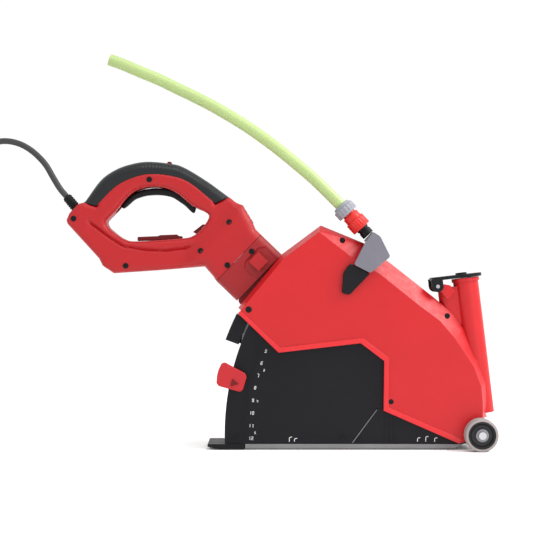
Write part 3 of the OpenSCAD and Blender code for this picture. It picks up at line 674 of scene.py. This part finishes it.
finish_piece(pins, "steel", "base")

# Strain relief where the cable leaves the handle
tilt = math.radians(-40)
axis = Vector((math.sin(tilt), 0, math.cos(tilt)))
bm = bmesh.new()
profile = [(0, 0), (8.4, 0), (8.4, 15)]
for k in range(5):
    h = 16 + 3.8 * k
    profile += [(7.3, h), (7.3, h + 1.2), (8.3 - 0.12 * k, h + 1.5), (8.3 - 0.12 * k, h + 3.2)]
profile += [(7.0, 36), (6.4, 37.6), (5.1, 38), (0, 38)]
lathe(bm, profile, facing(-321, 40, 374, axis), 40)
boot = add("cable_boot_look", bm, 50)
finish_piece(boot, "black_plastic", "machine", ["cable_boot"])

HOSE = [(99.6, -18, 384.8), (86, -18, 398.5), (59, -18, 425), (30, -18, 450), (2, -18, 473), (-26, -18, 494),
        (-52, -18, 512), (-78, -18, 528), (-104, -18, 543), (-131, -18, 557), (-160, -18, 571),
        (-189, -18, 585), (-218, -18, 597), (-246, -18, 609), (-268, -18, 617)]
hose_path = spline(HOSE, 5)
bm = bmesh.new()
tube(bm, hose_path, 9.5, 40, 6.6)
hose = add("water_hose_look", bm)
dress(hose, "hose_green")
hose.data.materials.append(MATS["hose_inside"])
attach(hose, "machine")
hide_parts("water_hose")

# ---------------------------------------------------------------- base

from_cad("base_plate_look", "base_plate", "grey_plate", "base", 0.7)
from_cad("rear_foot_look", "rear_foot", "black_plastic", "base", 1.0)
from_cad("wear_strip_look", "wear_strip", "dark_red", "base", 0.2)
from_cad("guard_near_look", "guard_near", "black_plastic", "base", 0.6, mat="guard_black")
from_cad("guard_far_look", "guard_far", "black_plastic", "base", 0.6, mat="guard_black")
from_cad("guard_front_look", "guard_front", "black_plastic", "base", 0.6, mat="guard_black")
from_cad("axle_brackets_look", "axle_brackets", "black_plastic", "base", 0.8)

# Raised line along the slanted seam of the guard, drawn grey as a painted highlight on the black plastic
bm = bmesh.new()
bar(bm, (116.6, 11), (154.6, 62.5), 1.0, GUARD_FACE - 0.5, GUARD_FACE + 0.3)
seam = add("guard_seam_look", bm)
finish_piece(seam, "black_plastic", "base", mat="cap_grey")

DIGITS = {
    "0": "abcdef", "1": "bc", "2": "abged", "3": "abgcd", "4": "fgbc", "5": "afgcd", "6": "afgedc",
    "7": "abc", "8": "abcdefg", "9": "abcdfg"}


def digit(bm, char, at, turn, height, y, stroke):
    """One number of the depth scale, drawn in strokes."""
    w, h = height * 0.5, height
    ends = {
        "a": ((0, h), (w, h)), "b": ((w, h), (w, h / 2)), "c": ((w, h / 2), (w, 0)), "d": ((0, 0), (w, 0)),
        "e": ((0, 0), (0, h / 2)), "f": ((0, h / 2), (0, h)), "g": ((0, h / 2), (w, h / 2))}
    c, s = math.cos(turn), math.sin(turn)

    def put(p):
        x, z = p[0] - w / 2, p[1] - h / 2
        return (at[0] + x * c - z * s, at[1] + x * s + z * c)

    for e in DIGITS[char]:
        bar(bm, put(ends[e][0]), put(ends[e][1]), stroke, y - 0.12, y + 0.1)


bm = bmesh.new()
for k, number in enumerate(range(12, 4, -1)):
    angle = 181.3 - 3.19 * k
    at = polar(360, angle)
    lean = math.radians(angle - 180)
    shift = 2.4 if number > 9 else 0
    for i, char in enumerate(str(number)):
        off = i * 4.8 - shift
        spot = (at[0] + off * math.cos(lean), at[1] + off * math.sin(lean))
        digit(bm, char, spot, lean, 4.6, GUARD_FACE, 0.75)
for k, number in enumerate((5, 4, 3, 2)):
    angle = 179.9 - 8.1 * k
    at = polar(353, angle)
    lean = math.radians(angle - 180)
    digit(bm, str(number), at, lean, 3.2, GUARD_FACE, 0.6)
for x, h in ((17, 6), (25, 4), (219, 5), (232, 7), (246, 5)):
    bar(bm, (x, 13), (x, 13 + h), 0.8, GUARD_FACE - 0.15, GUARD_FACE + 0.1)
    bar(bm, (x, 13 + h), (x + 4, 13 + h + 1), 0.8, GUARD_FACE - 0.15, GUARD_FACE + 0.1)
marks = add("depth_scale_look", bm)
finish_piece(marks, "marks_white", "base", ["depth_marks"])

bm = bmesh.new()
for x, z in ((-66, 22), (100, 20), (128, 16), (270, 20)):
    screw(bm, x, GUARD_FACE, z, 4, 1.2)
finish_piece(add("guard_screws_look", bm), "screw_black", "base", ["guard_screws"])

# ---------------------------------------------------------------- wheels

for side, near in ((-1, "near"), (1, "far")):
    body = near + "_wheel"
    bm = bmesh.new()
    place = facing(PIVOT[0], side * 44, PIVOT[1], (0, side, 0))
    profile = [(21.5, 0.2), (23.6, 0.2), (25, 0.8), (25.9, 2.4)]
    for k in range(3):
        profile += [(26, 5.6 + 5.2 * k), (25.4, 6.2 + 5.2 * k), (25.4, 6.9 + 5.2 * k), (26, 7.5 + 5.2 * k)]
    profile += [(25.9, 21.6), (25, 23.3), (23.6, 23.9), (21.5, 23.9)]
    lathe(bm, profile, place, 96)
    tyre = add(near + "_tyre_look", bm, 60)
    finish_piece(tyre, "tyre_rubber", body, ["wheel_tyre_" + near])
    bm = bmesh.new()
    profile = [(6.2, 0.2), (21.4, 0.2), (21.4, 22.0), (20.8, 22.8), (19.2, 23.0), (18.4, 22.6), (17.4, 20.2),
               (16.4, 19.2), (12.0, 19.0), (10.6, 19.6), (10.2, 22.0), (6.2, 22.0)]
    lathe(bm, profile, place, 96)
    hub = add(near + "_hub_look", bm, 50)
    finish_piece(hub, "hub_black", body, ["wheel_hub_" + near])
    bm = bmesh.new()
    lathe(bm, [(6.3, 22.0), (10.0, 22.0), (10.0, 24.6), (9.4, 25.3), (8.2, 25.5), (6.3, 25.5)], place, 64)
    cap = add(near + "_cap_look", bm, 50)
    finish_piece(cap, "hub_black", body, mat="cap_grey")

# ---------------------------------------------------------------- depth stop

from_cad("depth_stop_block_look", "depth_stop_block", "stop_red", "depth_stop", 1.4)
bm = bmesh.new()
prism(bm, [(-74, 108), (-72, 113), (-62, 104.5), (-75, 101)], -46.6, -44.9)
button = add("depth_stop_button_look", bm)
bevelled(button, 0.5)
finish_piece(button, "stop_red", "depth_stop", ["depth_stop_button"], "dark_red")

# ---------------------------------------------------------------- covers

from_cad("cover_near_look", "cover_near", "red_cover", "machine", 1.3, 3, angle=14)
from_cad("cover_far_look", "cover_far", "red_cover", "machine", 1.3)
# The cover's rim in a lighter red than the cover, a painted highlight along its lower edge
from_cad("cover_rim_look", "cover_rim", "red_cover", "machine", 0.9, mat="red_rim_painted_highlight")
from_cad("rear_apron_look", "rear_apron", "black_plastic", "machine", 1.2)
from_cad("pivot_arm_look", "pivot_arm", "gear_metal", "machine", 0.8)
bm = bmesh.new()
for x, z, r, y in ((-47, 221, 5, -38), (177, 76, 4, -38), (101, 330, 4.4, -25.2), (267, 210.5, 4.4, -24.4)):
    screw(bm, x, y + 0.4, z, r, 1.0)
finish_piece(add("cover_screws_look", bm), "screw_black", "machine", ["cover_screws"])

# ---------------------------------------------------------------- dust outlet

from_cad("dust_duct_look", "dust_duct", "red_cover", "machine", 0.7, mat="red_duct")
from_cad("dust_cap_look", "dust_cap", "black_plastic", "dust_lid", 1.1)

# ---------------------------------------------------------------- water feed

from_cad("water_bracket_look", "water_bracket", "gear_metal", "machine", 1.4, mat="bracket_grey")
from_cad("water_arm_look", "water_arm", "black_plastic", "machine", 1.4)
FEED_TILT = math.radians(133)
ON_FEED = facing(133, -18, 349, (math.cos(FEED_TILT), 0, math.sin(FEED_TILT)))

bm = bmesh.new()
profile = [(0, -13.9), (10, -13.9), (10, -5), (8.8, -4.2), (8.8, -2.4), (10, -1.8), (10, 1), (0, 1)]
lathe(bm, profile, ON_FEED, 48)
finish_piece(add("water_valve_look", bm, 50), "black_plastic", "machine", ["water_valve"])


def ribbed(profile, place, ribs, depth, sides, lo, hi):
    """A lathed piece whose wide part has ribs for gripping between two heights."""
    bm = bmesh.new()
    rings = []
    for r, h in profile:
        ring = []
        for k in range(sides):
            a = 2 * math.pi * k / sides
            rr = r - (depth * (0.5 - 0.5 * math.cos(ribs * a)) if lo <= h <= hi else 0)
            ring.append(bm.verts.new(place @ Vector((rr * math.cos(a), rr * math.sin(a), h))))
        rings.append(ring)
    for p, q in zip(rings, rings[1:]):
        for k in range(sides):
            bm.faces.new((p[k], p[(k + 1) % sides], q[(k + 1) % sides], q[k]))
    bm.faces.new(rings[0])
    bm.faces.new(rings[-1])
    return bm


bm = ribbed([(12, 1.1), (15.4, 1.1), (16, 2), (16, 3.5), (16, 4.2), (16, 17), (16, 17.8), (15.6, 18.8),
             (13.5, 19.2), (13.5, 28), (13, 29), (11, 29.2), (11, 32)], ON_FEED, 20, 0.9, 120, 4, 17.2)
finish_piece(add("hose_coupler_look", bm, 50), "coupler_red", "machine", ["hose_coupler"])
bm = ribbed([(11, 32.1), (16.4, 32.1), (17.5, 33.2), (17.5, 35.6), (17.5, 36.4), (17.5, 44.4), (17.3, 45.4),
             (15.2, 46.6), (14.5, 47), (14.0, 50), (11.4, 51.0), (9.6, 51.0)],
            ON_FEED, 16, 1.3, 128, 36, 44.8)
finish_piece(add("hose_nut_look", bm, 50), "nut_grey", "machine", ["hose_nut"])

# ---------------------------------------------------------------- drive housing

from_cad("gear_housing_look", "gear_housing", "gear_metal", "machine", 2.2)
bm = bmesh.new()
for k in range(6):
    a = 2 * math.pi * (k + 0.5) / 6
    screw(bm, HUB[0] + 51 * math.cos(a), 73.6, HUB[1] + 51 * math.sin(a), 3.4, 0.4, 1.0)
finish_piece(add("gear_housing_bolts_look", bm), "screw_black", "machine")

# The neck's ends and edges along and across the motor's axis, and its half thickness and edge radius
NECK_FROM, NECK_TO = 168.3, 214.0
NECK_SIDE = 52
NECK_HALF, NECK_RADIUS = 36, 15
LOCK_BORE = 6.1


def along(p):
    return (p - np.array(HUB)) @ ALONG


def across(p):
    return (p - np.array(HUB)) @ ACROSS


def bulge(p):
    """How far the handle is thickened round the motor, from 0 to 1."""
    return (1 - ease(along(p), 256, 286)) * ease(across(p), -80, -46)


def constant(value):
    return lambda p: np.full(len(p), float(value))


# Neck: rounded along both long sides, with a recess round the lock button
neck = [on_motor(NECK_FROM, -NECK_SIDE), on_motor(NECK_TO - 0.3, -NECK_SIDE),
        on_motor(NECK_TO - 0.3, NECK_SIDE), on_motor(NECK_FROM, NECK_SIDE)]
recess = np.array([on_motor(160, 44), on_motor(160, -8), on_motor(196, -8), on_motor(204, 2),
                   on_motor(204, 34), on_motor(196, 44)])
recess_edges = np.array([(recess[i], recess[(i + 1) % 6]) for i in range(6)])


def neck_relief(p, d):
    inside = within(p, [recess.tolist()])
    return -2.2 * np.where(inside, ease(edge_distance(p, recess_edges), 0.2, 3.5), 0)


LOCK_AT = on_motor(187, 18)
lock_bore = [(LOCK_AT[0] + LOCK_BORE * math.cos(math.pi * k / 14),
              LOCK_AT[1] + LOCK_BORE * math.sin(math.pi * k / 14)) for k in range(28)]


def neck_ends(mid):
    """The edges at both ends of the neck and round the lock's bore aren't rounded."""
    t = along(mid)
    return (t < 169) | (t > NECK_TO - 1) | (np.hypot(*(mid - np.array(LOCK_AT)).T) < 7)


neck_half, neck_radius = constant(NECK_HALF), constant(NECK_RADIUS)
sheet = pillow([neck, lock_bore], neck_half, neck_radius, neck_ends, neck_relief, 1.6)
bm = bmesh.new()
pillow_half(bm, sheet, HANDLE_Y, -1, 0)
sheet = pillow([neck], neck_half, neck_radius, neck_ends, None, 3)
pillow_half(bm, sheet, HANDLE_Y, 1, 0)
bmesh.ops.remove_doubles(bm, verts=bm.verts, dist=WELD)
joint = [on_motor(149, -52), on_motor(168.4, -52), on_motor(168.4, 52), on_motor(149, 52)]
prism(bm, softened(joint, 4, 2), 20.8, 75)
prism(bm, [on_motor(208, -46), on_motor(219, -46), on_motor(219, 46), on_motor(208, 46)], 10, 70)
# The neck is drawn in a darker red than the handle, as painted shade from the cover
finish_piece(add("motor_housing_look", bm), "red_handle", "machine", ["motor_housing"], "red_neck_painted_shade")

# Dark bars along the neck's upper side, painted shade standing in for the slots of the cooling air, which are
# not cut
bm = bmesh.new()
for k in range(5):
    t = 176 + 7 * k
    prism(bm, [on_motor(t, 51.2), on_motor(t + 3, 51.2), on_motor(t + 3, 52.05), on_motor(t, 52.05)], 26, 54)
finish_piece(add("neck_vents_look", bm), "black_plastic", "machine")

from_cad("spindle_lock_look", "spindle_lock", "red_handle", "spindle_lock_button", 1.8)

# ---------------------------------------------------------------- handle

# Where the red shell meets the soft grip, then the shell's outline and its hand hole
SEAM_LOW = [(-294, 386.5), (-261, 418.6), (-229, 433.6), (-203, 437.6), (-173, 434.6), (-143, 423.6),
            (-102, 390.6)]
SHELL = [(-341, 358), (-342.8, 364), (-338, 375), (-324, 390), (-314.5, 392.5)] + SEAM_LOW + [
    (-79.5, 401), (-68, 392), (-58, 388), (-44, 365), on_motor(226, 52), on_motor(NECK_TO + 0.4, 52),
    on_motor(NECK_TO + 0.4, -52), (-106, 274), (-119, 289), (-192, 283), (-266, 278), (-284, 290),
    (-290, 302)]
HOLE = [(-283, 358), (-270, 371), (-258, 383), (-250, 395), (-236, 409), (-220, 416), (-203, 418.5),
        (-182, 416.5), (-164, 408), (-150, 396), (-137, 385), (-114, 376), (-111, 366), (-135, 337),
        (-158, 334), (-229, 329), (-250, 331)]


def run(points, first, last):
    """A smooth version of part of an outline, with the rest left as it is."""
    mid = [tuple(p) for p in spline([Vector(q) for q in points[first:last + 1]], 6)]
    return points[:first] + mid + points[last + 1:]


shell = run(SHELL, 5, 11)
seam_curve = np.array(spline([Vector(q) for q in SEAM_LOW], 6))
seam_edges = np.stack([seam_curve[:-1], seam_curve[1:]], 1)
hole = softened(HOLE, 9)


def shell_sharp(mid):
    """The edges at the neck and along the soft grip aren't rounded."""
    at_neck = (along(mid) < NECK_TO + 2) & (np.abs(across(mid)) < 51.5)
    return at_neck | (edge_distance(mid, seam_edges) < 0.6)


def shell_half(p):
    return HANDLE_HALF + 9.8 * bulge(p)


def shell_radius(p):
    return 9 + 6 * bulge(p)


CREASE = np.array([(-309, 364), (-272, 336), (-250, 322), (-216, 316.5), (-183, 315), (-152, 318.5),
                   (-132, 327)])
hole_edges = np.array([(hole[i], hole[(i + 1) % len(hole)]) for i in range(len(hole))])
crease_edges = np.stack([CREASE[:-1], CREASE[1:]], 1)


def shell_relief(p, d):
    """A crease below the hand hole with a lower face beyond it, and a slight edge along the grip."""
    from_crease = edge_distance(p, crease_edges)
    beyond = p[:, 1] < np.interp(p[:, 0], CREASE[:, 0], CREASE[:, 1])
    fade = ease(p[:, 0], -312, -300) * (1 - ease(p[:, 0], -152, -128))
    groove = -3.4 * (1 - ease(from_crease, 0.6, 4.2))
    lower = -1.3 * np.where(beyond, 1 - ease(from_crease, 3, 26), 0)
    along_grip = -1.5 * (1 - ease(edge_distance(p, seam_edges), 0.2, 2.2))
    return (groove + lower) * fade + along_grip


crease_run = np.array(divided([tuple(p) for p in CREASE] + [tuple(p) for p in CREASE[::-1]], 2.0))
crease_points = np.concatenate([crease_run + (0, k) for k in (-4.5, -2.4, -0.7, 0.7, 2.4, 4.5)])
crease_points = np.unique(crease_points.round(2), axis=0)


def slot_wall(p):
    """The halves stay apart along the upper edge of the hand hole, where the trigger goes in."""
    by_hole = edge_distance(np.array([p]), hole_edges)[0] < 0.5
    return 9.2 if by_hole and p[1] > 377 and -266 < p[0] < -126 else 0.15


sheet = pillow([shell, hole], shell_half, shell_radius, shell_sharp, shell_relief, 2.6, crease_points)
for name, side in (("handle_near", -1), ("handle_far", 1)):
    bm = bmesh.new()
    pillow_half(bm, sheet, HANDLE_Y, side, slot_wall)
    finish_piece(add(name + "_look", bm, 60), "red_handle", "machine", [name])

# Screws of the handle
SCREWS = [(-208, 429), (-246, 290), (-125, 314), (-79, 360), (-82, 291), (-43, 313), (-330, 366)]
bm = bmesh.new()
for x, z in SCREWS:
    p = np.array([(x, z)])
    y = HANDLE_Y - (36 if along(p)[0] < NECK_TO else float(shell_half(p)[0]))
    screw(bm, x, y - 0.1, z, 4.6, 1.3)
finish_piece(add("handle_screws_look", bm), "screw_black", "machine", ["handle_screws"])

# Soft grip: a rounded bow with fine ribs across its near and far sides
TOP = [(-314.5, 392.4), (-309.5, 400), (-287, 430), (-262, 447), (-235, 456), (-210, 459), (-177, 456),
       (-154, 450), (-117, 428), (-88, 407), (-80.6, 401.6)]
top_curve = [tuple(p) for p in spline([Vector(q) for q in TOP], 6)]
grip_low = [tuple(p + np.array([0.0, 0.4])) for p in seam_curve[::-1]]
grip = top_curve + grip_low


def grip_sharp(mid):
    """The edge along the red shell and the two ends aren't rounded."""
    return (edge_distance(mid, seam_edges) < 1.2) | (mid[:, 0] > -103) & (mid[:, 1] < 402) | (mid[:, 1] < 395)


def grip_relief(p, d):
    """Shallow ribs across the middle of the grip."""
    centre = np.array([-196.0, 330.0])
    angle = np.degrees(np.arctan2(p[:, 1] - centre[1], p[:, 0] - centre[0]))
    wave = 0.5 - 0.5 * np.cos(angle * 2 * math.pi / 2.6)
    zone = ease(angle, 62, 66) * (1 - ease(angle, 98, 102))
    return -0.55 * wave * zone * ease(d, 2, 7)


def lock_off_slot(p):
    """An opening in the top of the grip, where the lock-off slide runs."""
    return 8.7 if p[1] > 444 and -224 < p[0] < -149 else 0.0


sheet = pillow([grip], constant(24), constant(15), grip_sharp, grip_relief, 1.5)
bm = bmesh.new()
pillow_half(bm, sheet, HANDLE_Y, -1, lock_off_slot)
pillow_half(bm, sheet, HANDLE_Y, 1, lock_off_slot)
bmesh.ops.remove_doubles(bm, verts=bm.verts, dist=WELD)
finish_piece(add("handle_grip_look", bm, 60), "grip_rubber", "machine", ["handle_grip"])

# Trigger: a crescent that swings on a pin at its front end
LEVER = [(-255, 386), (-252, 392), (-237, 407), (-222, 413.5), (-203, 416.5), (-184, 416), (-168, 412.5),
         (-152, 402), (-143, 394), (-136, 392), (-133.5, 388), (-135.5, 377), (-139, 375), (-152, 388),
         (-172, 401.5), (-186, 404.6), (-200, 405.3), (-216, 404), (-233, 398.5), (-249, 384), (-253, 383)]
sheet = pillow([softened(LEVER, 3)], constant(8), constant(4), None, None, 1.6)
bm = bmesh.new()
pillow_half(bm, sheet, HANDLE_Y, -1, 0)
pillow_half(bm, sheet, HANDLE_Y, 1, 0)
bmesh.ops.remove_doubles(bm, verts=bm.verts, dist=WELD)
finish_piece(add("trigger_look", bm, 60), "black_plastic", "trigger_lever", ["trigger"])
bm = bmesh.new()
lathe(bm, [(0, 0), (2.5, 0), (2.5, 20), (0, 20)], facing(-138, 28, 389, (0, 1, 0)), 24)
finish_piece(add("trigger_pin_look", bm), "steel", "machine")

from_cad("lock_off_look", "lock_off", "dark_red", "lock_off_slide", 0.8)

# Low ribs along the upper edge of the handle, by the motor
bm = bmesh.new()
for k in range(4):
    x, z = -59.5 + 4.6 * k, 387.5 - 7.6 * k
    prism(bm, [(x, z), (x + 3.6, z - 6.0), (x + 5.2, z - 5.0), (x + 1.8, z + 1.2)], 27, 53)
ribs = add("handle_ribs_look", bm)
bevelled(ribs, 0.5, 2)
finish_piece(ribs, "dark_red", "machine")

# Clip that keeps a key on the lower bar, and its end stop by the neck
bm = bmesh.new()
prism(bm, [(-229, 330.4), (-229, 337), (-196, 338.4), (-192, 340), (-165, 341), (-162, 338.6), (-156, 338),
           (-157, 333)], 33, 47)
prism(bm, [(-139, 345), (-123, 357.5), (-114, 357), (-117, 351), (-130, 340)], 33, 47)
clip = add("key_clip_look", bm)
bevelled(clip, 1.0)
finish_piece(clip, "dark_red", "machine")

# ---------------------------------------------------------------- CAD pieces shown as they are

SHARP_ANGLE = 0.5
for n, obj in nodes.items():
    if obj.hide_render:
        continue
    obj.data.materials.clear()
    obj.data.materials.append(MATS[SLOT_OF[n]])
    bm = bmesh.new()
    bm.from_mesh(obj.data)
    for f in bm.faces:
        f.smooth = True
    for e in bm.edges:
        e.smooth = not (len(e.link_faces) == 2 and e.calc_face_angle(0) > SHARP_ANGLE)
    bm.to_mesh(obj.data)
    bm.free()
